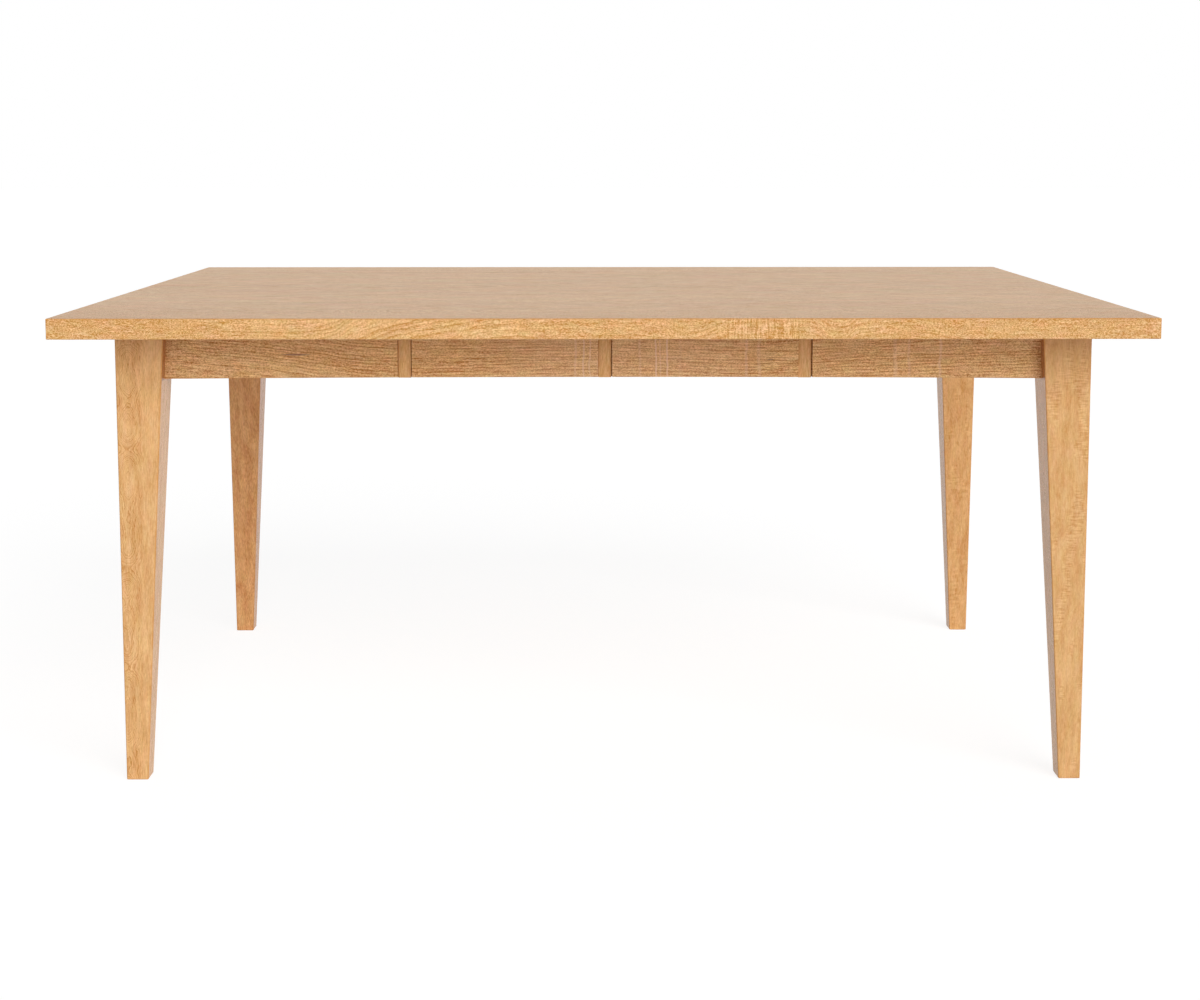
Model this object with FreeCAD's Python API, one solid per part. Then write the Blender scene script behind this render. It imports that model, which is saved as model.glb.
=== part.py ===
import FreeCAD, Part
import math
import os

# Dining table on four tapered legs. Millimetres: X along the table, Y from front (-) to back (+),
# Z up from the floor. The origin is on the floor under the middle of the top.

# The whole table
table_length = 1695.0
table_width = 1188.0
table_height = 762.0

# Top: boards glued edge to edge, with a loose tongue in each seam
top_thickness = 32.0
top_arris_radius = 1.2
board_count = 8
spline_thickness = 6.0
spline_width = 19.0
spline_end_gap = 0.5
groove_width = 20.0
groove_stop = 60.0  # from the top's ends, so that no groove shows there

# Legs: the two outer faces are upright, the two inner ones taper from top to foot
end_overhang = 74.0  # from the top's end to the legs
side_overhang = 115.0  # from the top's long edge to the legs
leg_top_size = 77.0
leg_foot_size = 35.0
leg_arris_radius = 1.5
foot_chamfer = 1.5

# Aprons
apron_height = 77.7
apron_arch_rise = 2.7  # the long aprons' lower edge is a shallow arch, from end to end of the board
apron_thickness = 22.0
apron_setback = 23.0  # from the legs' outer faces
apron_arris_chamfer = 0.8
tenon_thickness = 10.0
tenon_reach = 34.0  # into the leg, measured at the leg's top
tenon_shoulder = 10.0  # above and below the tenon
mortise_end_gap = 1.0

# Upright strips let into the long aprons' faces
strip_pitch = 320.0
strip_offset = 2.5  # the three stand a little to the right of the apron's middle
strip_width = 21.0
strip_thickness = 5.0
strip_setback = 5.0  # from the apron's face
strip_drop = 1.0  # below the apron's lower edge
strip_top_gap = 0.5
strip_arris_radius = 0.8
dado_width = 22.5
dado_left_play = 0.2  # the rest of the play shows as a dark line on the right

# Cross rails under the top
rail_thickness = 22.0
rail_height = 45.0
rail_stub_thickness = 14.0
rail_stub_height = 30.0
rail_stub_length = 8.0
rail_counterbore_depth = 20.0
rail_counterbore_diameter = 12.0
rail_slot_diameter = 5.0
rail_slot_travel = 8.0  # lets the boards swell across the table

# Corner blocks behind the legs
block_height = 52.0
block_top_gap = 8.0
block_leg_gap = 3.0
block_thickness = 32.0
block_screw_inset = 20.0  # from the block's inner corner, along the apron
block_screw_rise = 12.0  # above and below the block's middle
block_screw_depth = 16.0  # of wood between the screw's head and the apron
block_counterbore_diameter = 10.0
block_counterbore_length = 30.0

# Buttons that hold the top to the aprons
button_length = 40.0
button_width = 32.0
button_height = 18.0
button_gap = 1.0  # between button and apron
button_tongue_height = 6.0
button_tongue_length = 9.0
button_slot_height = 7.0
button_slot_depth = 9.0
button_slot_side_play = 5.0
long_button_places = (-480.0, -160.0, 160.0, 480.0)
end_button_boards = (3, 6)  # counted from the front

# Slotted wood screws: length under the head for the flat-bearing one, overall for the countersunk ones
screw_slot_width = 1.2
screw_slot_depth = 1.4
screw_tip_length = 5.0
button_screw = {"length": 32.0, "shank": 4.5, "head": 8.5, "countersunk": True}
block_screw = {"length": 32.0, "shank": 4.5, "head": 8.5, "countersunk": True}
rail_screw = {"length": 40.0, "shank": 4.5, "head": 9.5, "countersunk": False}
flat_head_height = 2.8

# What follows from them
underside = table_height - top_thickness
half_length = table_length / 2
half_width = table_width / 2
board_width = table_width / board_count
spline_level = table_height - top_thickness / 2
leg_outer_x = half_length - end_overhang
leg_outer_y = half_width - side_overhang
apron_bottom = underside - apron_height
long_face_y = leg_outer_y - apron_setback
long_back_y = long_face_y - apron_thickness
strip_face_y = long_face_y - strip_setback
dado_back_y = strip_face_y - strip_thickness
long_reach = leg_outer_x - leg_foot_size  # half of a long apron's board, before its shoulders are cut
end_face_x = leg_outer_x - apron_setback
end_back_x = end_face_x - apron_thickness
tenon_bottom = apron_bottom + tenon_shoulder
tenon_top = underside - tenon_shoulder
tenon_end_x = leg_outer_x - leg_top_size + tenon_reach
tenon_end_y = leg_outer_y - leg_top_size + tenon_reach
strip_places = [strip_offset + step * strip_pitch for step in (-1, 0, 1)]
rail_places = {"left": -strip_pitch, "centre": 0.0, "right": strip_pitch}
block_top = underside - block_top_gap
block_bottom = block_top - block_height
block_middle = (block_top + block_bottom) / 2
button_bottom = underside - button_height
corners = {
    "front_left": (-1, -1),
    "front_right": (1, -1),
    "back_left": (-1, 1),
    "back_right": (1, 1),
}


def vector(x, y, z):
    return FreeCAD.Vector(x, y, z)


def box(x_range, y_range, z_range):
    x0, x1 = sorted(x_range)
    y0, y1 = sorted(y_range)
    z0, z1 = sorted(z_range)
    return Part.makeBox(x1 - x0, y1 - y0, z1 - z0, vector(x0, y0, z0))


def about(middle, size):
    return (middle - size / 2, middle + size / 2)


def prism(outline, z_range):
    points = [vector(x, y, z_range[0]) for x, y in outline]
    face = Part.Face(Part.makePolygon(points + points[:1]))
    return face.extrude(vector(0, 0, z_range[1] - z_range[0]))


# A shape made for the back right corner, moved to the corner with these signs.
def at_corner(shape, sign_x, sign_y):
    if sign_x < 0:
        shape = shape.mirror(vector(0, 0, 0), vector(1, 0, 0))
    if sign_y < 0:
        shape = shape.mirror(vector(0, 0, 0), vector(0, 1, 0))
    return shape


def turned(shape):
    half_turn = shape.copy()
    half_turn.rotate(vector(0, 0, 0), vector(0, 0, 1), 180)
    return half_turn


def board_middle(number):
    return -half_width + (number - 0.5) * board_width


def save(name, shape):
    if not shape.isValid():
        raise ValueError(name + " is not a valid shape")
    shape.exportStep("parts/" + name + ".step")


# ---------- fasteners ----------

# The screw points up. A countersunk head starts at the origin and narrows at 90 degrees into the
# shank. A flat-bearing head hangs below the origin, and bears at it.
def upright_screw(size):
    shank = size["shank"] / 2
    head = size["head"] / 2
    if size["countersunk"]:
        head_bottom = 0
        outline = [(0, 0), (head, 0), (shank, head - shank)]
    else:
        head_bottom = -flat_head_height
        outline = [(0, head_bottom), (head, head_bottom), (head, 0), (shank, 0)]
    outline += [(shank, size["length"] - screw_tip_length), (0, size["length"])]
    points = [vector(x, 0, z) for x, z in outline]
    face = Part.Face(Part.makePolygon(points + points[:1]))
    solid = face.revolve(vector(0, 0, 0), vector(0, 0, 1), 360)
    slot = box((-head, head), about(0, screw_slot_width), (head_bottom, head_bottom + screw_slot_depth))
    return solid.cut(slot)


def screw(size, place, direction):
    solid = upright_screw(size)
    solid.Placement = FreeCAD.Placement(place, FreeCAD.Rotation(vector(0, 0, 1), direction))
    return solid


# The hole that a screw fills, from the face that its head bears on.
def screw_hole(size, place, direction):
    radius = size["shank"] / 2
    shank_length = size["length"] - screw_tip_length
    shank = Part.makeCylinder(radius, shank_length, place, direction)
    hole = shank.fuse(Part.makeCone(radius, 0, screw_tip_length, place + direction * shank_length, direction))
    if size["countersunk"]:
        head = size["head"] / 2
        hole = hole.fuse(Part.makeCone(head, radius, head - radius, place, direction))
    return hole


# ---------- places of the top's fasteners ----------

def button_places():
    spots = {"front": [], "back": [], "left": [], "right": []}
    for x in long_button_places:
        spots["front"].append((x, -long_back_y, (0, 1)))
        spots["back"].append((x, long_back_y, (0, -1)))
    for number in end_button_boards:
        spots["left"].append((-end_back_x, board_middle(number), (1, 0)))
        spots["right"].append((end_back_x, board_middle(number), (-1, 0)))
    return spots


def button_screw_place(spot):
    x, y, inward = spot
    reach = button_gap + button_width / 2
    return vector(x + inward[0] * reach, y + inward[1] * reach, button_bottom)


def rail_screw_places(x):
    level = underside - rail_height + rail_counterbore_depth
    return [vector(x, board_middle(number), level) for number in range(2, board_count)]


# ---------- top ----------

def make_top_slab():
    whole = box((-half_length, half_length), (-half_width, half_width), (underside, table_height))
    return whole.makeFillet(top_arris_radius, whole.Edges)


def seam_places():
    return [-half_width + number * board_width for number in range(1, board_count)]


def make_groove(y):
    reach = half_length - groove_stop
    return box((-reach, reach), about(y, groove_width), about(spline_level, spline_thickness))


def make_splines():
    reach = half_length - groove_stop - spline_end_gap
    return Part.makeCompound([
        box((-reach, reach), about(y, spline_width), about(spline_level, spline_thickness))
        for y in seam_places()
    ])


def make_top_boards():
    slab = make_top_slab()
    up = vector(0, 0, 1)
    holes = []
    for spots in button_places().values():
        holes += [screw_hole(button_screw, button_screw_place(spot), up) for spot in spots]
    for x in rail_places.values():
        holes += [screw_hole(rail_screw, place, up) for place in rail_screw_places(x)]
    cuts = [make_groove(y) for y in seam_places()] + holes
    boards = []
    for number in range(1, board_count + 1):
        y0 = -half_width + (number - 1) * board_width
        cell = box((-half_length, half_length), (y0, y0 + board_width), (underside, table_height))
        boards.append(slab.common(cell).cut(cuts))
    return boards


# ---------- legs ----------

def square_wire(size, z):
    x0 = leg_outer_x - size
    y0 = leg_outer_y - size
    points = [
        vector(x0, y0, z),
        vector(leg_outer_x, y0, z),
        vector(leg_outer_x, leg_outer_y, z),
        vector(x0, leg_outer_y, z),
    ]
    return Part.makePolygon(points + points[:1])


def make_leg_blank():
    return Part.makeLoft([square_wire(leg_foot_size, 0), square_wire(leg_top_size, underside)], True, True)


# The long apron's tenon runs along X and the end apron's along Y. They pass side by side in the leg.
def make_long_tenon(length_gap):
    middle = long_face_y - apron_thickness / 2
    start = leg_outer_x - leg_top_size - tenon_reach / 2
    return box((start, tenon_end_x + length_gap), about(middle, tenon_thickness), (tenon_bottom, tenon_top))


def make_end_tenon(length_gap):
    middle = end_face_x - apron_thickness / 2
    start = leg_outer_y - leg_top_size - tenon_reach / 2
    return box(about(middle, tenon_thickness), (start, tenon_end_y + length_gap), (tenon_bottom, tenon_top))


def make_leg():
    blank = make_leg_blank()
    foot_edges = [edge for edge in blank.Edges if edge.BoundBox.ZMax < foot_chamfer / 2]
    leg = blank.makeChamfer(foot_chamfer, foot_edges)
    long_edges = [edge for edge in leg.Edges if edge.Length > underside * 0.9]
    leg = leg.makeFillet(leg_arris_radius, long_edges)
    return leg.cut([make_long_tenon(mortise_end_gap), make_end_tenon(mortise_end_gap)])


# ---------- aprons ----------

# The block's plan: a bar at 45 degrees between the two aprons, just inside the leg's inner corner.
def block_outline():
    leg_corner_sum = 2 * -leg_top_size + leg_outer_x + leg_outer_y
    outer = leg_corner_sum - block_leg_gap * math.sqrt(2)
    inner = outer - block_thickness * math.sqrt(2)
    return [
        (inner - long_back_y, long_back_y),
        (outer - long_back_y, long_back_y),
        (end_back_x, outer - end_back_x),
        (end_back_x, inner - end_back_x),
    ]


# Each screw is given as its head's place and its direction, for the back right corner.
def block_screws():
    outline = block_outline()
    x = outline[0][0] + block_screw_inset
    y = outline[3][1] + block_screw_inset
    found = []
    for z in (block_middle - block_screw_rise, block_middle + block_screw_rise):
        found.append((vector(x, long_back_y - block_screw_depth, z), vector(0, 1, 0)))
        found.append((vector(end_back_x - block_screw_depth, y, z), vector(1, 0, 0)))
    return found


def make_corner_block():
    block = prism(block_outline(), (block_bottom, block_top))
    radius = block_counterbore_diameter / 2
    cuts = []
    for place, direction in block_screws():
        cuts.append(screw_hole(block_screw, place, direction))
        start = place - direction * block_counterbore_length
        cuts.append(Part.makeCylinder(radius, block_counterbore_length, start, direction))
    return block.cut(cuts)


def make_block_screws():
    return Part.makeCompound([screw(block_screw, place, direction) for place, direction in block_screws()])


def corner_cuts():
    cuts = []
    for sign_x, sign_y in corners.values():
        for place, direction in block_screws():
            cuts.append(at_corner(screw_hole(block_screw, place, direction), sign_x, sign_y))
    return cuts


def make_button_slot(spot):
    x, y, inward = spot
    along = button_length + 2 * button_slot_side_play
    slot_top = button_bottom + button_tongue_height  # the tongue pulls up against it
    z_range = (slot_top - button_slot_height, slot_top)
    if inward[0]:
        return box((x, x - inward[0] * button_slot_depth), about(y, along), z_range)
    return box(about(x, along), (y, y - inward[1] * button_slot_depth), z_range)


def make_rail_stub(x, extra):
    reach = long_back_y + rail_stub_length + extra
    z_range = about(underside - rail_height / 2, rail_stub_height)
    return box(about(x, rail_stub_thickness), (-reach, reach), z_range)


def make_dado(x):
    return box(about(x, dado_width), (-long_face_y, -dado_back_y), (apron_bottom, underside))


def arch_level(x):
    return apron_bottom + apron_arch_rise * (1 - (x / long_reach) ** 2)


def make_arched_board():
    def corner(x, z):
        return vector(x, -long_face_y, z)

    foot_left = corner(-long_reach, apron_bottom)
    foot_right = corner(long_reach, apron_bottom)
    head_left = corner(-long_reach, underside)
    head_right = corner(long_reach, underside)
    sides = [
        Part.Arc(foot_left, corner(0, arch_level(0)), foot_right),
        Part.LineSegment(foot_right, head_right),
        Part.LineSegment(head_right, head_left),
        Part.LineSegment(head_left, foot_left),
    ]
    face = Part.Face(Part.Wire([side.toShape() for side in sides]))
    return face.extrude(vector(0, apron_thickness, 0))


def ease_lower_edges(apron, length):
    lower = [
        edge
        for edge in apron.Edges
        if edge.BoundBox.ZMin < apron_bottom + apron_arris_chamfer / 2 and edge.Length > length
    ]
    return apron.makeChamfer(apron_arris_chamfer, lower)


def leg_blanks():
    return [at_corner(make_leg_blank(), sign_x, sign_y) for sign_x, sign_y in corners.values()]


# The front apron. The back one is the same board, turned half round.
def make_long_apron():
    board = ease_lower_edges(make_arched_board(), leg_outer_x).cut(leg_blanks())
    tenons = [at_corner(make_long_tenon(0), sign, -1) for sign in (-1, 1)]
    cuts = [make_dado(x) for x in strip_places]
    cuts += [make_rail_stub(x, mortise_end_gap) for x in rail_places.values()]
    cuts += [make_button_slot(spot) for spot in button_places()["front"]]
    return board.fuse([tenon.cut(board) for tenon in tenons]).removeSplitter().cut(cuts + corner_cuts())


def make_end_apron():
    reach = leg_outer_y - leg_foot_size
    board = box((end_back_x, end_face_x), (-reach, reach), (apron_bottom, underside))
    board = ease_lower_edges(board, leg_outer_y).cut(leg_blanks())
    tenons = [at_corner(make_end_tenon(0), 1, sign) for sign in (-1, 1)]
    cuts = [make_button_slot(spot) for spot in button_places()["right"]]
    return board.fuse([tenon.cut(board) for tenon in tenons]).removeSplitter().cut(cuts + corner_cuts())


# ---------- strips, cross rails, buttons ----------

def make_strip(x):
    left = x - dado_width / 2 + dado_left_play
    bottom = arch_level(x) - strip_drop
    blank = box(
        (left, left + strip_width),
        (-strip_face_y, -dado_back_y),
        (bottom, underside - strip_top_gap),
    )
    front = -strip_face_y + strip_arris_radius / 2
    low = bottom + strip_drop / 2
    eased = [
        edge
        for edge in blank.Edges
        if (edge.BoundBox.YMax < front and edge.BoundBox.ZMin < low) or edge.BoundBox.ZMax < low
    ]
    return blank.makeFillet(strip_arris_radius, eased)


# A round hole, or with some travel a slot that runs across the table.
def upright_slot(start, diameter, depth, travel):
    if not travel:
        return Part.makeCylinder(diameter / 2, depth, start)
    reach = vector(0, travel / 2, 0)
    ends = [Part.makeCylinder(diameter / 2, depth, start + shift) for shift in (reach, -reach)]
    middle = box(about(start.x, diameter), about(start.y, travel), (start.z, start.z + depth))
    return middle.fuse(ends)


def make_cross_rail(x):
    bottom = underside - rail_height
    rail = box(about(x, rail_thickness), (-long_back_y, long_back_y), (bottom, underside))
    rail = rail.fuse(make_rail_stub(x, 0)).removeSplitter()
    for place in rail_screw_places(x):
        travel = rail_slot_travel if abs(place.y) > board_width else 0
        start = vector(x, place.y, bottom)
        rail = rail.cut([
            upright_slot(start, rail_counterbore_diameter, rail_counterbore_depth, travel),
            upright_slot(start, rail_slot_diameter, rail_height, travel),
        ])
    return rail


def make_rail_screws(x):
    return Part.makeCompound([screw(rail_screw, place, vector(0, 0, 1)) for place in rail_screw_places(x)])


# The button is made at the origin with its tongue towards -Y, then turned to face its apron.
def make_button(spot):
    x, y, inward = spot
    body = box(about(0, button_length), (button_gap, button_gap + button_width), (button_bottom, underside))
    tongue = box(
        about(0, button_length),
        (button_gap - button_tongue_length, button_gap),
        (button_bottom, button_bottom + button_tongue_height),
    )
    button = body.fuse(tongue).removeSplitter()
    button.rotate(vector(0, 0, 0), vector(0, 0, 1), math.degrees(math.atan2(-inward[0], inward[1])))
    button.translate(vector(x, y, 0))
    return button.cut(screw_hole(button_screw, button_screw_place(spot), vector(0, 0, 1)))


def make_button_screws(spots):
    up = vector(0, 0, 1)
    return Part.makeCompound([screw(button_screw, button_screw_place(spot), up) for spot in spots])


# ---------- the whole table ----------

def build():
    os.makedirs("parts", exist_ok=True)
    for number, board in enumerate(make_top_boards(), 1):
        save("top_board_" + str(number), board)
    save("top_splines", make_splines())

    leg = make_leg()
    block = make_corner_block()
    block_screw_set = make_block_screws()
    for corner, (sign_x, sign_y) in corners.items():
        save("leg_" + corner, at_corner(leg, sign_x, sign_y))
        save("corner_block_" + corner, at_corner(block, sign_x, sign_y))
        save("corner_screws_" + corner, at_corner(block_screw_set, sign_x, sign_y))

    long_apron = make_long_apron()
    save("apron_front", long_apron)
    save("apron_back", turned(long_apron))
    end_apron = make_end_apron()
    save("apron_right", end_apron)
    save("apron_left", turned(end_apron))

    for number, x in enumerate(strip_places, 1):
        strip = make_strip(x)
        save("strip_front_" + str(number), strip)
        save("strip_back_" + str(number), turned(strip))

    for name, x in rail_places.items():
        save("cross_rail_" + name, make_cross_rail(x))
        save("rail_screws_" + name, make_rail_screws(x))

    for side, spots in button_places().items():
        for number, spot in enumerate(spots, 1):
            save("button_" + side + "_" + str(number), make_button(spot))
        save("button_screws_" + side, make_button_screws(spots))


build()
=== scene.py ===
import math
import bpy
from mathutils import Euler, Matrix, Vector


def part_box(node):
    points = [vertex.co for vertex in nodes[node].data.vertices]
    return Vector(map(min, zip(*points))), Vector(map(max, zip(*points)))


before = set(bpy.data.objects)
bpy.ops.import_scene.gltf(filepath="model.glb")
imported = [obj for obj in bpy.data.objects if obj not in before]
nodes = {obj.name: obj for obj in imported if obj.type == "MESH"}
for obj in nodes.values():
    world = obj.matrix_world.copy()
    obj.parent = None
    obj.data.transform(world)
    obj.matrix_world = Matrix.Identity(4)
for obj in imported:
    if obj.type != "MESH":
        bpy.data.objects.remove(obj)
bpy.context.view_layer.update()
scene = bpy.context.scene
print("frame loaded:", len(nodes), "pieces")


def toLinear(hexText):  # sRGB hex to linear RGBA
    channels = [int(hexText[start:start + 2], 16) / 255 for start in (1, 3, 5)]
    return [c / 12.92 if c <= 0.04045 else ((c + 0.055) / 1.055) ** 2.4 for c in channels] + [1.0]


def addNode(tree, kind, links=None, **settings):
    # links go from an input's name or number to a node, a socket, a hex colour or a plain value
    node = tree.nodes.new("ShaderNode" + kind)
    for name, value in settings.items():
        setattr(node, name, value)
    for name, value in (links or {}).items():
        socket = node.inputs[name] if isinstance(name, int) else next(
            s for s in node.inputs if s.enabled and s.name == name)
        if isinstance(value, bpy.types.Node):
            value = next(s for s in value.outputs if s.enabled)
        if isinstance(value, bpy.types.NodeSocket):
            tree.links.new(value, socket)
        else:
            socket.default_value = toLinear(value) if isinstance(value, str) else value
    return node


def newMaterial(name):
    material = bpy.data.materials.new(name)
    material.use_nodes = True
    material.node_tree.nodes.clear()
    return material


def dress(nodeName, material):  # the CAD piece keeps its mesh and takes the material in its own slot
    for slot in nodes[nodeName].material_slots:
        slot.material = material


def objectPlace(tree):  # metres in the table's own frame
    return addNode(tree, "TexCoord").outputs["Object"]


# wood: what every maple piece is cut from; sizes are in millimetres, along and across the grain

mapleWood = {
    "making": "mapleLacquered",  # names its materials
    "pale": "#FFD49D",  # early wood
    "dark": "#C3832F",  # late wood, pores and rays
    "shade": 0.03,  # darker above 0, paler below
    "upperPaintedShade": 0.0,  # painted shade on the face that looks up: darker above 0, paler below
    "grain": "x",
    "cut": 0.0,  # metres along the log, so that no two pieces are alike
    "pith": (0, 0),  # of the log, across the grain from the piece's middle
    "bends": [((420, 160), 16.0)],  # cell and reach of each bend in the grain
    "rings": 0.45,  # how dark the rings are, and the same for each kind of mark
    "ringWidth": 4.6,
    "faintestRing": 0.3,  # of the strongest one's darkness
    "lineSharpness": 1.5,
    "waver": 0.3,  # of a ring's width
    "waverCell": (26, 8),
    "lostRings": 0.35,  # what is left of the rings away from "ringPlaces"
    "strongerPores": 1.2,  # and what the pores grow to there
    "streaks": 0.35,
    "streakSize": (16, 1.2),
    "streakEdges": (0.34, 0.66),  # the noise's values where a mark begins and where it is full
    # pores and rays are 0.1 mm wide on the real wood; these are as coarse as they need to be to show
    "flecks": 0.6,
    "fleckSize": (2.6, 1.05),
    "fleckEdges": (0.4, 0.6),
    "rays": 0.2,
    "raySize": (1.2, 4),
    "rayEdges": (0.38, 0.62),
    "cloud": 0.1,
    "cloudSize": (260, 60),
    "cloudEdges": (0.25, 0.75),
    "curl": 0.0,
    "curlSize": (2.5, 26),
    "curlEdges": (0.38, 0.62),
    "curlPatch": (150, 45),
    "patchEdges": (0.52, 0.62),
    "hueSize": (26, 12),  # maple runs from straw to rose in soft spots
    "hueDrift": (0.24, 0.24, 0.38),  # of its red, green and blue
    "endPale": "#D69F60",  # cut across, the wood drinks more finish
    "endDark": "#9A6430",
    "endRings": 0.7,
    "endPores": 0.3,
    "endShare": 0.8,
    "endSlopes": (0.6, 0.9),  # how squarely across the grain a face has to be to show as cut
    "arris": "#D08C3C",  # a darker orange line along the edges
    "arrisWidth": 2.6,
    "arrisShade": 0.75,
    "arrisPatchSize": (22, 22),  # stronger and weaker in patches
    "arrisPatchEdges": (0.35, 0.6),
    "arrisPatchLeast": 0.5,  # of its shade, between them
    "roughness": 0.4,
    "roughnessReach": 0.05,  # up and down with the streaks
    "specular": 0.45,
    "ior": 1.5,
    "relief": 0.0001,  # metres
    "reliefStrength": 0.2,
}
noiseMarks = [  # the marks made of noise, what their sizes' and edges' names begin with, and their detail
    ("streaks", "streak", 1.0), ("flecks", "fleck", 1.0), ("rays", "ray", 1.0), ("cloud", "cloud", 2.0),
]
# what each mark comes to over a whole face, so that stronger marks don't make the wood darker
markMeans = {"rings": 0.26, "streaks": 0.5, "flecks": 0.5, "rays": 0.5, "cloud": 0.5, "curl": 0.0}
middleTone = 0.5  # half way from pale to dark
fullWithin = 0.4  # the share of a half width that has its full strength
arrisCore = 0.2  # and of an arris line's width


def grainSpace(tree, piece):
    # metres from the log's pith: x along the grain, y and z across it
    split = addNode(tree, "SeparateXYZ", {0: objectPlace(tree)})
    order = {"x": "XYZ", "y": "YXZ", "z": "ZXY"}[piece["grain"]]
    turned = addNode(tree, "CombineXYZ", {number: split.outputs[axis] for number, axis in enumerate(order)})
    origin = (piece["cut"], *piece["pithPlace"])
    return addNode(tree, "VectorMath", {0: turned, 1: origin}, operation="SUBTRACT")


def alongPiece(tree, space, piece):  # metres along the grain in the table's own frame
    return addNode(tree, "Math", {0: addNode(tree, "SeparateXYZ", {0: space}), 1: piece["cut"]})


def inCells(tree, space, along, across):
    # the same place counted in cells of the given size
    counts = (1000 / along, 1000 / across, 1000 / across)
    return addNode(tree, "VectorMath", {0: space, 1: counts}, operation="MULTIPLY")


def patches(tree, space, size, detail=1.0, roughness=0.55):
    # noise from 0 to 1
    return addNode(tree, "TexNoise", {
        "Vector": inCells(tree, space, *size), "Scale": 1.0, "Detail": detail, "Roughness": roughness})


def wander(tree, space, size, detail=1.0):
    # noise to both sides of 0
    return addNode(tree, "TexNoise", {
        "Vector": inCells(tree, space, *size), "Scale": 1.0, "Detail": detail}, normalize=False)


def distinctMarks(tree, space, size, edges, detail=1.0, least=0.0):
    # patches with clear outlines: they begin where the noise passes its first edge and are full at its second
    begin, full = edges
    return addNode(tree, "MapRange", {
        "Value": patches(tree, space, size, detail), "From Min": begin, "From Max": full, "To Min": least},
        interpolation_type="SMOOTHSTEP")


def grainRise(tree, space, piece):
    # how far the grain climbs along the piece, in metres, as a smooth curve through (place, millimetres)
    points = piece["rise"]
    places = [place / 1000 - piece["cut"] for place, _ in points]
    heights = [height for _, height in points]
    along = addNode(tree, "SeparateXYZ", {0: space}).outputs["X"]
    share = addNode(tree, "MapRange", {"Value": along, "From Min": places[0], "From Max": places[-1]})
    curve = addNode(tree, "FloatCurve", {"Value": share})
    line = curve.mapping.curves[0]
    for number, (place, height) in enumerate(zip(places, heights)):
        spot = ((place - places[0]) / (places[-1] - places[0]),
                (height - min(heights)) / (max(heights) - min(heights)))
        if number in (0, len(points) - 1):
            line.points[0 if number == 0 else -1].location = spot
        else:
            line.points.new(*spot)
    for point in line.points:
        point.handle_type = "AUTO_CLAMPED"
    curve.mapping.update()
    return addNode(tree, "MapRange", {
        "Value": curve, "To Min": min(heights) / 1000, "To Max": max(heights) / 1000})


def straightened(tree, space, piece):
    # takes the grain's bends, lean and climb out of the place, so that rings, fibres and pores follow them
    for cell, bend in piece["bends"]:
        drift = wander(tree, space, cell)
        space = addNode(tree, "VectorMath", {
            0: drift.outputs["Color"], 1: (0, bend / 1000, bend / 1000), 2: space}, operation="MULTIPLY_ADD")
    if "lean" in piece:
        along = alongPiece(tree, space, piece)
        aside = addNode(tree, "Math", {0: along, 1: piece["lean"]}, operation="MULTIPLY")
        leant = addNode(tree, "CombineXYZ", {1: aside})
        space = addNode(tree, "VectorMath", {0: space, 1: leant}, operation="SUBTRACT")
    if "rise" in piece:
        climb = addNode(tree, "CombineXYZ", {2: grainRise(tree, space, piece)})
        space = addNode(tree, "VectorMath", {0: space, 1: climb}, operation="SUBTRACT")
    return space


def nearPlaces(tree, along, places):
    # up to the given strength at each (place, half width, strength); 0 away from them
    near = 0.0
    for place, reach, strength in places:
        away = addNode(tree, "Math", {0: along, 1: place / 1000}, operation="SUBTRACT")
        away = addNode(tree, "Math", {0: away}, operation="ABSOLUTE")
        here = addNode(tree, "MapRange", {
            "Value": away, "From Min": reach / 1000, "From Max": fullWithin * reach / 1000,
            "To Max": strength}, interpolation_type="SMOOTHSTEP")
        near = addNode(tree, "Math", {0: here, 1: near}, operation="MAXIMUM")
    return near


def growthRings(tree, space, piece):
    # dark at the end of each year's growth: lines on a quarter-sawn face, arches on a flat-sawn one
    across = addNode(tree, "VectorMath", {0: space, 1: (0, 1, 1)}, operation="MULTIPLY")
    radius = addNode(tree, "VectorMath", {0: across}, operation="LENGTH").outputs["Value"]
    points = piece.get("points")
    if points:  # the rings are drawn out to points along a line up the piece
        width = points["width"] / 1000
        aside = addNode(tree, "VectorMath", {0: space}, operation="ABSOLUTE")
        aside = addNode(tree, "SeparateXYZ", {0: aside}).outputs["Y"]
        reach = addNode(tree, "MapRange", {
            "Value": aside, "From Max": width, "To Min": points["reach"] / 1000, "To Max": 0.0})
        radius = addNode(tree, "Math", {0: wander(tree, space, points["cell"]), 1: reach, 2: radius},
                         operation="MULTIPLY_ADD")
    years = addNode(tree, "Math", {0: radius, 1: 1000 / piece["ringWidth"]}, operation="MULTIPLY")
    waver = wander(tree, space, piece["waverCell"], detail=2.0)
    years = addNode(tree, "Math", {0: waver, 1: piece["waver"], 2: years}, operation="MULTIPLY_ADD")
    season = addNode(tree, "Math", {0: years}, operation="FRACT")
    line = addNode(tree, "Math", {0: season, 1: piece["lineSharpness"]}, operation="POWER")
    year = addNode(tree, "Math", {0: years}, operation="FLOOR")
    strength = addNode(tree, "TexWhiteNoise", {"W": year}, noise_dimensions="1D").outputs["Value"]
    strength = addNode(tree, "MapRange", {"Value": strength, "To Min": piece["faintestRing"]})
    if points:  # and are faint away from it
        faint = addNode(tree, "MapRange", {
            "Value": aside, "From Min": fullWithin * width, "From Max": width, "To Min": 1.0,
            "To Max": piece["faintestRing"]})
        strength = addNode(tree, "Math", {0: strength, 1: faint}, operation="MULTIPLY")
    return addNode(tree, "Math", {0: line, 1: strength}, operation="MULTIPLY")


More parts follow.
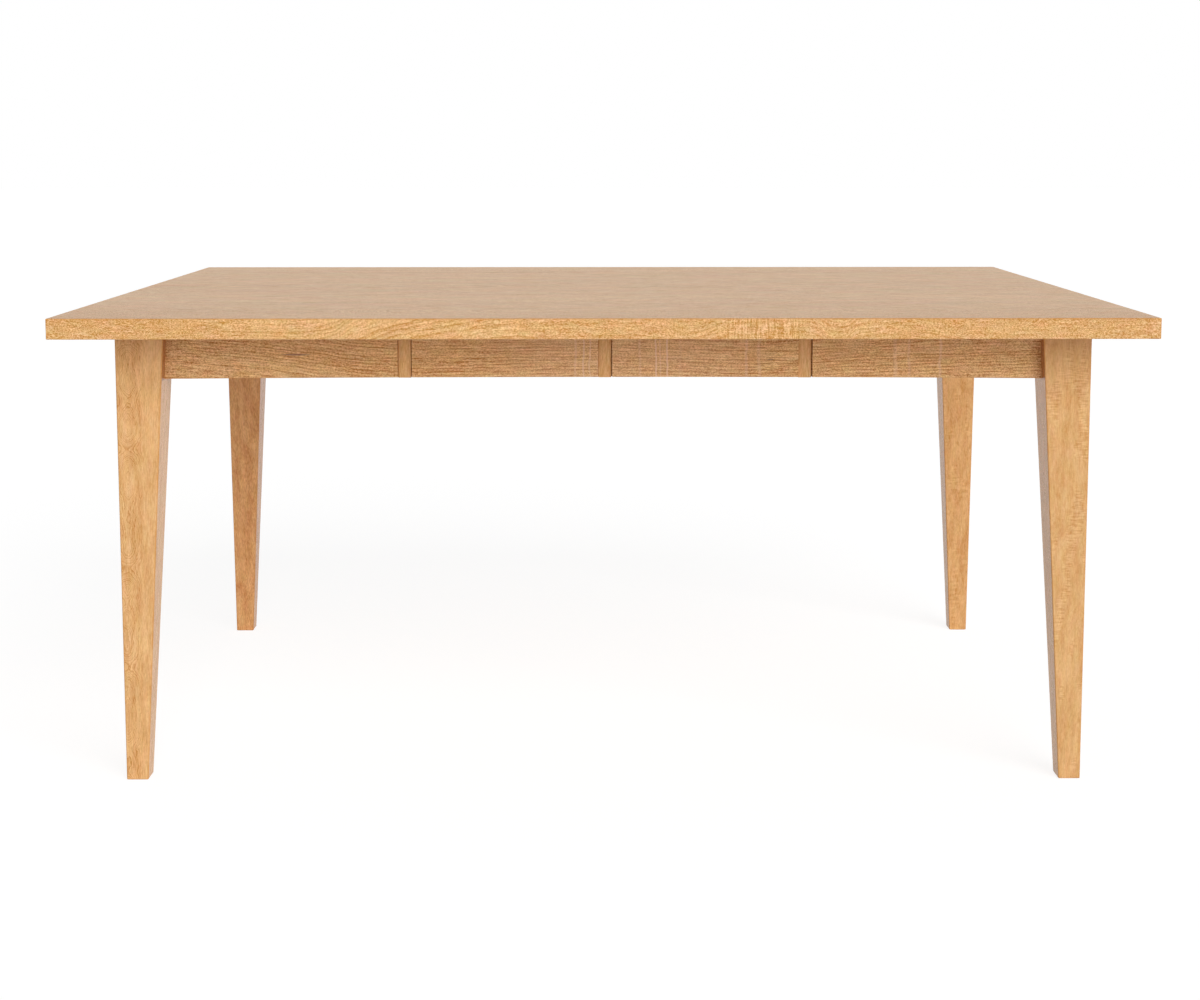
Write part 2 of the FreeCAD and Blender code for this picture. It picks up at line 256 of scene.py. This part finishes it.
def curlFigure(tree, space, bent, piece):
    # irregular bars across the grain where the fibres wave, in patches or at "curlPlaces" and "curlDepth"
    bars = distinctMarks(tree, bent, piece["curlSize"], piece["curlEdges"], least=-1.0)
    if "curlPlaces" in piece:
        along = nearPlaces(tree, alongPiece(tree, space, piece), piece["curlPlaces"])
        aside = addNode(tree, "SeparateXYZ", {0: space}).outputs["Y"]
        aside = addNode(tree, "Math", {0: aside, 1: piece["pithPlace"][0]})
        aside = nearPlaces(tree, aside, piece["curlDepth"])
        where = addNode(tree, "Math", {0: along, 1: aside}, operation="MULTIPLY")
    else:
        where = distinctMarks(tree, space, piece["curlPatch"], piece["patchEdges"])
    return addNode(tree, "Math", {0: bars, 1: where}, operation="MULTIPLY")


def woodTone(tree, bent, piece, marks):
    # how dark the wood is between pale and dark: its marks, each taken round its mean
    marks = dict(marks)
    if "ringPlaces" in piece:  # away from these places the rings are half lost among stronger pores
        near = nearPlaces(tree, alongPiece(tree, bent, piece), piece["ringPlaces"])
        clear = addNode(tree, "MapRange", {"Value": near, "To Min": piece["lostRings"]})
        coarse = addNode(tree, "MapRange", {"Value": near, "To Min": piece["strongerPores"], "To Max": 1.0})
        marks["rings"] = addNode(tree, "Mix", {"Factor": clear, "A": markMeans["rings"], "B": marks["rings"]})
        marks["flecks"] = addNode(tree, "Math", {0: marks["flecks"], 1: coarse}, operation="MULTIPLY")
    tone = middleTone + piece["shade"] - sum(piece[kind] * markMeans[kind] for kind in marks)
    for kind, mark in marks.items():
        tone = addNode(tree, "Math", {0: mark, 1: piece[kind], 2: tone}, operation="MULTIPLY_ADD")
    return tone


def withHue(tree, bent, piece, colour):
    # no two spots of the wood have quite the same hue
    drift = patches(tree, bent, piece["hueSize"], detail=3.0, roughness=0.6)
    least = [1 - reach / 2 for reach in piece["hueDrift"]]
    tint = addNode(tree, "VectorMath", {0: drift.outputs["Color"], 1: piece["hueDrift"], 2: least},
                   operation="MULTIPLY_ADD")
    return addNode(tree, "VectorMath", {0: colour, 1: tint}, operation="MULTIPLY")


def withCutEnds(tree, piece, normal, marks, colour):
    # where the piece is cut across, its rings and pores show as dark arcs and dots
    begin, full = piece["endSlopes"]
    cutEnd = addNode(tree, "Math", {0: normal.outputs[piece["grain"].upper()]}, operation="ABSOLUTE")
    cutEnd = addNode(tree, "MapRange", {
        "Value": cutEnd, "From Min": begin, "From Max": full, "To Max": piece["endShare"]})
    pores = addNode(tree, "Math", {0: marks["flecks"], 1: piece["endPores"]}, operation="MULTIPLY")
    tone = addNode(tree, "Math", {
        0: marks["rings"], 1: piece["endRings"], 2: pores}, operation="MULTIPLY_ADD")
    ends = addNode(tree, "Mix", {
        "Factor": tone, "A": piece["endPale"], "B": piece["endDark"]}, data_type="RGBA")
    return addNode(tree, "Mix", {"Factor": cutEnd, "A": colour, "B": ends}, data_type="RGBA")


def arrisLine(tree, low, high, place, width):
    # 1 on the outer edges of the box from low to high, fading to 0 a line's width from them
    above = addNode(tree, "VectorMath", {0: place, 1: high}, operation="SUBTRACT")
    below = addNode(tree, "VectorMath", {0: low, 1: place}, operation="SUBTRACT")
    beyond = addNode(tree, "VectorMath", {0: above, 1: below}, operation="MAXIMUM")
    x, y, z = addNode(tree, "SeparateXYZ", {0: beyond}).outputs
    least = addNode(tree, "Math", {0: x, 1: y}, operation="MINIMUM")
    most = addNode(tree, "Math", {0: x, 1: y}, operation="MAXIMUM")
    most = addNode(tree, "Math", {0: most, 1: z}, operation="MINIMUM")
    # the second largest of the three is minus the distance to the nearest edge
    second = addNode(tree, "Math", {0: least, 1: most}, operation="MAXIMUM")
    return addNode(tree, "MapRange", {
        "Value": second, "From Min": -width / 1000, "From Max": -arrisCore * width / 1000},
        interpolation_type="SMOOTHSTEP")


def withArris(tree, space, piece, box, place, colour):
    # a darker line along the edges, stronger and weaker in patches
    low, high = box
    low = low(tree) if callable(low) else low
    line = arrisLine(tree, low, high, place(tree), piece["arrisWidth"])
    begin, full = piece["arrisPatchEdges"]
    arrisStrength = addNode(tree, "MapRange", {
        "Value": patches(tree, space, piece["arrisPatchSize"]), "From Min": begin, "From Max": full,
        "To Min": piece["arrisPatchLeast"] * piece["arrisShade"], "To Max": piece["arrisShade"]})
    line = addNode(tree, "Math", {0: line, 1: arrisStrength}, operation="MULTIPLY")
    return addNode(tree, "Mix", {"Factor": line, "A": colour, "B": piece["arris"]}, data_type="RGBA")


def mapleMaterial(name, piece, box, place):
    # hard maple, planed and sanded, under clear satin lacquer: pale gold with a soft sheen
    material = newMaterial(piece["making"] + "_" + name)
    tree = material.node_tree
    space = grainSpace(tree, piece)
    bent = straightened(tree, space, piece)
    marks = {"rings": growthRings(tree, bent, piece)}
    for kind, start, detail in noiseMarks:
        marks[kind] = distinctMarks(tree, bent, piece[start + "Size"], piece[start + "Edges"], detail)
    if piece["curl"]:
        marks["curl"] = curlFigure(tree, space, bent, piece)
    normal = addNode(tree, "SeparateXYZ", {0: addNode(tree, "TexCoord").outputs["Normal"]})
    upward = addNode(tree, "Math", {0: normal.outputs["Z"], 1: 0.0}, operation="MAXIMUM")
    tone = woodTone(tree, bent, piece, marks)
    # painted shade on the faces that look up
    tone = addNode(tree, "Math", {0: upward, 1: piece["upperPaintedShade"], 2: tone}, operation="MULTIPLY_ADD")
    colour = addNode(tree, "Mix", {"Factor": tone, "A": piece["pale"], "B": piece["dark"]}, data_type="RGBA")
    colour = withHue(tree, bent, piece, colour)
    if "ownMarks" in piece:
        colour = piece["ownMarks"](tree, space, piece, colour)
    colour = withCutEnds(tree, piece, normal, marks, colour)
    colour = withArris(tree, space, piece, box, place, colour)
    # painted shade in the corners between the legs and the aprons
    if "paintedCornerShade" in piece:
        colour = addNode(tree, "Mix", {
            "Factor": piece["paintedCornerShade"](tree), "A": colour, "B": piece["corner"]}, data_type="RGBA")
    bump = addNode(tree, "Bump", {
        "Height": tone, "Strength": piece["reliefStrength"], "Distance": piece["relief"]})
    shine = addNode(tree, "MapRange", {
        "Value": marks["streaks"], "To Min": piece["roughness"] - piece["roughnessReach"],
        "To Max": piece["roughness"] + piece["roughnessReach"]})
    surface = addNode(tree, "BsdfPrincipled", {
        "Base Color": colour, "Roughness": shine, "Normal": bump, "IOR": piece["ior"],
        "Specular IOR Level": piece["specular"]})
    addNode(tree, "OutputMaterial", {"Surface": surface})
    return material


def dressMaple(name, piece, box=None, place=objectPlace):
    # the darker edge line follows the box's edges, which are the piece's own unless another box is given
    piece = {**mapleWood, **piece}
    low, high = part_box(name)
    middle = (low + high) / 2
    across = {"x": middle.yz, "y": middle.xz, "z": middle.xy}[piece["grain"]]
    piece["pithPlace"] = [start + offset / 1000 for start, offset in zip(across, piece["pith"])]
    dress(name, mapleMaterial(name, piece, box or (low, high), place))


# the top: eight boards, glued edge to edge

frontBoard = {
    # its top face is darkened as painted shade
    "cut": 0.37, "pith": (60, -134), "upperPaintedShade": 0.06, "bends": [((420, 160), 4.0)],
    "rise": [  # place and height: sweeping up, dipping twice, and swirling
        (-845, 14), (-760, 4), (-640, -4), (-500, -8), (-440, -4), (-380, 22), (-320, 44), (-250, 56),
        (-65, 70), (40, 70), (90, 66), (130, 54), (168, 66), (215, 70), (300, 70), (335, 58), (360, 50),
        (385, 62), (455, 66), (540, 54), (680, 50), (845, 56),
    ],
    "rings": 0.62, "ringWidth": 4.4, "lineSharpness": 1.8,
    "ringPlaces": [  # place, half width and strength, as for each of its places
        (-300, 330, 1.0), (130, 150, 0.5), (366, 110, 0.6),
    ],
    "streaks": 0.34, "streakSize": (22, 1.2), "flecks": 0.58,
    "curl": 0.28, "curlPlaces": [(245, 90, 1.0)],
    "curlDepth": [(-594, 40, 1.0)],  # the same from front to back
}
planedFace = {  # seen at a shallow angle, where finer marks would be lost
    "streaks": 0.4, "streakSize": (40, 1.6), "flecks": 0.42, "fleckSize": (7, 1.05), "hueSize": (90, 50)}
otherBoards = [  # from the second at the front to the back
    {"cut": 1.90, "pith": (-300, -144), "ringWidth": 3.4, "shade": 0.07},
    {"cut": 3.10, "pith": (25, -79), "ringWidth": 4.4, "shade": 0.05},
    {"cut": 4.70, "pith": (210, -44), "ringWidth": 3.8, "shade": 0.07},
    {"cut": 6.20, "pith": (-35, -104), "ringWidth": 4.8, "shade": 0.09},
    {"cut": 7.60, "pith": (-220, -224), "ringWidth": 3.6, "shade": 0.06},
    {"cut": 9.10, "pith": (60, -54), "ringWidth": 4.2, "shade": 0.08},
    {"cut": 10.4, "pith": (180, -184), "ringWidth": 4.0, "shade": 0.05},
]
boards = [frontBoard] + [{**planedFace, **board} for board in otherBoards]
boardNames = ["top_board_" + str(number) for number in range(1, len(boards) + 1)]
topLow = Vector([min(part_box(name)[0][axis] for name in boardNames) for axis in range(3)])
topHigh = Vector([max(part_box(name)[1][axis] for name in boardNames) for axis in range(3)])
farBelow = Vector((0, 0, 1))  # takes the box's lower edges away, which have no darker line
for name, board in zip(boardNames, boards):
    dressMaple(name, board, (topLow - farBelow, topHigh))
print("top dressed")


# legs: square posts whose two inner faces taper

legWood = {
    "grain": "z", "pale": "#FACB90", "dark": "#BE7C30", "bends": [((240, 120), 16.0)], "streaks": 0.25,
    "flecks": 0.16, "fleckSize": (8, 1.6), "rays": 0.05, "cloudSize": (60, 11),
    "hueSize": (34, 10), "hueDrift": (0.15, 0.18, 0.3), "roughness": 0.3,
    "corner": "#B06F38",  # painted shade in the corner where an apron meets the leg
}
legs = {
    "leg_front_left": {  # its rings run to points along a line that leans aside
        "cut": 0.9, "pith": (-37, -35), "lean": 0.028, "bends": [((240, 120), 3.0)], "rings": 0.7,
        "ringWidth": 2.8, "points": {"cell": (75, 500), "reach": 36.0, "width": 30}, "waver": 0.5,
        "waverCell": (9, 4), "lineSharpness": 2.5, "cloud": 0.3},
    "leg_front_right": {
        "cut": 2.3, "pith": (160, 90), "pale": "#FED398", "rings": 0.0, "ringWidth": 9.0, "streaks": 0.2,
        "flecks": 0.12, "curl": 0.13, "curlSize": (2.2, 14), "curlPatch": (60, 24),
        "patchEdges": (0.54, 0.64), "cloud": 0.23},
    "leg_back_left": {
        "cut": 4.5, "pith": (-90, 60), "pale": "#FCC484", "dark": "#CC8242", "rings": 0.2, "ringWidth": 3.6,
        "flecks": 0.4, "cloud": 0.5},
    "leg_back_right": {
        "cut": 5.8, "pith": (30, -80), "rings": 0.15, "ringWidth": 4.2, "curl": 0.1, "curlSize": (5, 20),
        "curlPatch": (70, 24), "cloud": 0.26},
}
footSize = 0.035  # metres, as the shapes have it
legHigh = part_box("leg_back_right")[1]
legTopSize = legHigh.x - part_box("leg_back_right")[0].x
# where the painted corner shade lies
cornerBand = {  # metres
    "begin": 0.001,  # from the leg's front face
    "full": 0.004,
    "fade": 0.002,  # below the apron's edge
    "strength": 0.9,
}


def taperedInside(tree):  # the inner faces' distance from the table's middle at each height
    height = addNode(tree, "SeparateXYZ", {0: objectPlace(tree)}).outputs["Z"]
    slope = -(legTopSize - footSize) / legHigh.z
    foot = (legHigh.x - footSize, legHigh.y - footSize, 0)
    return addNode(tree, "VectorMath", {0: height, 1: (slope, slope, 0), 2: foot}, operation="MULTIPLY_ADD")


def mirroredPlace(tree):  # the four legs mirror each other
    return addNode(tree, "VectorMath", {0: objectPlace(tree)}, operation="ABSOLUTE")


def apronCorner(tree):
    # painted shade on the narrow bands between the legs' front faces and the aprons, down to the aprons'
    # lower edges
    place = addNode(tree, "SeparateXYZ", {0: mirroredPlace(tree)})
    fromEnd = addNode(tree, "Math", {0: legHigh.x, 1: place.outputs["X"]}, operation="SUBTRACT")
    fromSide = addNode(tree, "Math", {0: legHigh.y, 1: place.outputs["Y"]}, operation="SUBTRACT")
    inward = addNode(tree, "Math", {0: fromEnd, 1: fromSide}, operation="MINIMUM")
    inward = addNode(tree, "MapRange", {
        "Value": inward, "From Min": cornerBand["begin"], "From Max": cornerBand["full"],
        "To Max": cornerBand["strength"]})
    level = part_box("apron_front")[0].z
    above = addNode(tree, "MapRange", {
        "Value": place.outputs["Z"], "From Min": level - cornerBand["fade"], "From Max": level})
    return addNode(tree, "Math", {0: inward, 1: above}, operation="MULTIPLY")


# each leg takes painted shade in the corners where the aprons meet it
for name, leg in legs.items():
    dressMaple(name, {**legWood, "paintedCornerShade": apronCorner, **leg}, (taperedInside, legHigh), mirroredPlace)
print("legs dressed")


# aprons and the strips let into them

apronFigure = {
    "paleColour": "#F4D0B4",
    "paleStreaks": [  # where curly fibres catch the light: place, half width and strength
        (30, 260, 0.12),
        (-45, 3, 0.35), (-32, 2.0, 0.55), (-22, 1.8, 0.45), (-8, 3, 0.3), (58, 3, 0.3), (84, 1.9, 0.65),
        (91, 1.6, 0.4), (102, 1.9, 0.65), (122, 4, 0.2), (228, 3, 0.3), (248, 4, 0.2), (466, 4, 0.2),
        (488, 3, 0.2), (538, 3, 0.3),
    ],
    "sway": 6.0,  # from side to side
    "swayCell": (60, 18),
    "mineralColour": "#6A3A38",
    "mineralStreaks": [  # place, height over the apron's middle, half length, half height and strength
        (-492, 0, 26, 1.7, 0.7), (267, -8, 7, 1.2, 0.6),
    ],
    "mineralEdges": (1.2, 0.4),  # where a streak begins and where it is full, in its half length and height
}


def streaksInApron(tree, space, piece, colour):
    sway = patches(tree, space, apronFigure["swayCell"])
    reach = apronFigure["sway"] / 1000
    swayed = addNode(tree, "Math", {0: sway, 1: reach, 2: alongPiece(tree, space, piece)},
                     operation="MULTIPLY_ADD")
    swayed = addNode(tree, "Math", {0: swayed, 1: reach / 2}, operation="SUBTRACT")
    pale = nearPlaces(tree, swayed, apronFigure["paleStreaks"])
    colour = addNode(tree, "Mix", {
        "Factor": pale, "A": colour, "B": apronFigure["paleColour"]}, data_type="RGBA")
    begin, full = apronFigure["mineralEdges"]
    for place, height, length, thickness, strength in apronFigure["mineralStreaks"]:
        centre = (place / 1000 - piece["cut"], 0, (height - piece["pith"][1]) / 1000)
        away = addNode(tree, "VectorMath", {0: space, 1: centre}, operation="SUBTRACT")
        counts = (1000 / length, 0, 1000 / thickness)
        away = addNode(tree, "VectorMath", {0: away, 1: counts}, operation="MULTIPLY")
        away = addNode(tree, "VectorMath", {0: away}, operation="LENGTH").outputs["Value"]
        dark = addNode(tree, "MapRange", {
            "Value": away, "From Min": begin, "From Max": full, "To Max": strength},
            interpolation_type="SMOOTHSTEP")
        colour = addNode(tree, "Mix", {
            "Factor": dark, "A": colour, "B": apronFigure["mineralColour"]}, data_type="RGBA")
    return colour


aprons = {
    "apron_front": {
        "cut": 0.2, "pith": (-40, -400), "pale": "#FFD499", "dark": "#AC6618", "bends": [((420, 160), 4.0)],
        "rise": [
            (-670, 22), (-560, 12), (-450, -2), (-330, -14), (-200, -16), (0, -15), (250, -17), (420, -12),
            (670, -4),
        ],
        "rings": 0.6, "ringWidth": 5.2, "lineSharpness": 2.0, "streaks": 0.4, "streakSize": (30, 1.15),
        "flecks": 0.5, "rays": 0.22, "raySize": (1.1, 3.5), "ownMarks": streaksInApron},
    "apron_back": {"cut": 3.9, "pith": (50, 330), "ringWidth": 4.2},
    "apron_left": {"grain": "y", "cut": 2.2, "pith": (60, -280), "ringWidth": 4.1},
    "apron_right": {"grain": "y", "cut": 5.2, "pith": (-70, 350), "ringWidth": 4.4},
}
for name, apron in aprons.items():
    dressMaple(name, apron)

stripWood = {
    "grain": "z", "shade": 0.04, "rings": 0.15, "ringWidth": 3.0, "flecks": 0.12, "rays": 0.0,
    "arrisShade": 0.2, "pithAside": 150,
    "pithStep": 20,  # from each strip to the next
    "cutStep": 0.7,
}
for number, name in enumerate(sorted(name for name in nodes if name.startswith("strip_"))):
    pith = (stripWood["pithAside"], stripWood["pithStep"] * number)
    dressMaple(name, {**stripWood, "cut": stripWood["cutStep"] * number, "pith": pith})
print("aprons and strips dressed")


# hidden joinery: bare maple and steel

innerGrain = {
    "cross_rail": "y", "button_front": "y", "button_back": "y", "button_left": "x", "button_right": "x",
    "corner_block": "z", "top_splines": "x"}
bareWood = {  # planed and left bare: paler and duller
    "making": "maplePlaned", "pale": "#F2D8B0", "dark": "#CBA06C", "pith": (50, -90), "flecks": 0.3,
    "arrisShade": 0.0, "roughness": 0.6,
    "cutStep": 0.3,  # from each piece to the next
}
screwFinish = {
    "pale": "#B9BCC0",
    "dark": "#9C9FA3",
    "grit": 1500.0,  # spots in a metre, 0.7 mm each
    "roughness": (0.3, 0.5),
}


def steelZincPlated():
    # zinc-plated wood screws: cool grey with a dull shine
    material = newMaterial("steelZincPlated")
    tree = material.node_tree
    grit = addNode(tree, "TexNoise", {
        "Vector": objectPlace(tree), "Scale": screwFinish["grit"], "Detail": 2.0})
    smooth, rough = screwFinish["roughness"]
    shine = addNode(tree, "MapRange", {"Value": grit, "To Min": smooth, "To Max": rough})
    colour = addNode(tree, "Mix", {
        "Factor": grit, "A": screwFinish["pale"], "B": screwFinish["dark"]}, data_type="RGBA")
    surface = addNode(tree, "BsdfPrincipled", {"Base Color": colour, "Metallic": 1.0, "Roughness": shine})
    addNode(tree, "OutputMaterial", {"Surface": surface})
    return material


screwSteel = steelZincPlated()
for number, name in enumerate(sorted(nodes)):
    if "screws" in name:
        dress(name, screwSteel)
    for start, grain in innerGrain.items():
        if name.startswith(start):
            dressMaple(name, {**bareWood, "grain": grain, "cut": bareWood["cutStep"] * number})
print("joinery dressed")


# floor, light and camera

studio = {
    "floorSize": 80.0,
    "floorColour": "#F4F4F4",
    "floorSeen": "#8A8A8A",  # what camera rays take of the floor's own light and shadow
    "floorGlow": 0.87,  # and how much white is added to it
    "ambient": 0.38,  # the white room round the table
    "ceiling": 0.54,  # straight above, against its walls
    "keyStrength": 2.2,
    "keySoftness": 50.0,  # degrees that the key light fills
    "keyAzimuth": 29.0,  # to the right of the table's front
    "keyHeight": 25.0,  # above the horizon
}


def seenDirectly(tree):
    # 1 for the rays that the eye sees, straight, mirrored or through glass; 0 for those that light the table
    rays = addNode(tree, "LightPath")
    seen = addNode(tree, "Math", {
        0: rays.outputs["Is Camera Ray"], 1: rays.outputs["Is Glossy Ray"]}, operation="MAXIMUM")
    return addNode(tree, "Math", {0: seen, 1: rays.outputs["Is Transmission Ray"]}, operation="MAXIMUM")


def paleFloor():
    # matt painted floor: holds the soft shadow, and blends into the white behind it
    material = newMaterial("floorMattPaint")
    tree = material.node_tree
    seen = seenDirectly(tree)
    paint = addNode(tree, "Mix", {
        "Factor": seen, "A": studio["floorColour"], "B": studio["floorSeen"]}, data_type="RGBA")
    glow = addNode(tree, "Math", {0: seen, 1: studio["floorGlow"]}, operation="MULTIPLY")
    matt = addNode(tree, "BsdfDiffuse", {"Color": paint})
    glow = addNode(tree, "Emission", {"Color": "#FFFFFF", "Strength": glow})
    addNode(tree, "OutputMaterial", {"Surface": addNode(tree, "AddShader", {0: matt, 1: glow})})
    return material


half = studio["floorSize"] / 2
floorMesh = bpy.data.meshes.new("floor")
floorCorners = [(-half, -half, 0), (half, -half, 0), (half, half, 0), (-half, half, 0)]
floorMesh.from_pydata(floorCorners, [], [(0, 1, 2, 3)])
floor = bpy.data.objects.new("floor", floorMesh)
floor.data.materials.append(paleFloor())
scene.collection.objects.link(floor)

world = bpy.data.worlds.new("studio")
world.use_nodes = True
world.node_tree.nodes.clear()
scene.world = world
tree = world.node_tree
height = addNode(tree, "SeparateXYZ", {0: addNode(tree, "TexCoord").outputs["Generated"]})
dimmer = addNode(tree, "MapRange", {
    "Value": height.outputs["Z"], "To Min": studio["ambient"],
    "To Max": studio["ambient"] * studio["ceiling"]})
strength = addNode(tree, "Mix", {"Factor": seenDirectly(tree), "A": dimmer, "B": 1.0})
sky = addNode(tree, "Background", {"Color": "#FFFFFF", "Strength": strength})
addNode(tree, "OutputWorld", {"Surface": sky})

keyLight = bpy.data.lights.new("keyLight", "SUN")
keyLight.energy = studio["keyStrength"]
keyLight.angle = math.radians(studio["keySoftness"])
key = bpy.data.objects.new("keyLight", keyLight)
key.rotation_euler = (math.radians(90 - studio["keyHeight"]), 0, math.radians(studio["keyAzimuth"]))
key.visible_glossy = False  # lacquer mirrors the room, not the lamp
scene.collection.objects.link(key)

view = {
    "place": (-0.01396, -3.37243, 1.02319),
    "downTilt": 6.08893,  # degrees
    "rightTurn": 0.16259,
    "roll": 0.0223,  # turns the top of the camera to its right
    "lens": 55.16975,  # millimetres, and the same for the sensor
    "sensorWidth": 36.0,
    "shiftY": -0.13208,
}
camera = bpy.data.objects.new("camera", bpy.data.cameras.new("camera"))
camera.location = view["place"]
aim = Euler((math.radians(90 - view["downTilt"]), 0, -math.radians(view["rightTurn"]))).to_matrix()
camera.rotation_euler = (aim @ Matrix.Rotation(-math.radians(view["roll"]), 3, "Z")).to_euler()
camera.data.lens = view["lens"]
camera.data.sensor_width = view["sensorWidth"]
camera.data.shift_y = view["shiftY"]
scene.collection.objects.link(camera)
scene.camera = camera
scene.view_settings.view_transform = "Standard"
print("studio ready")
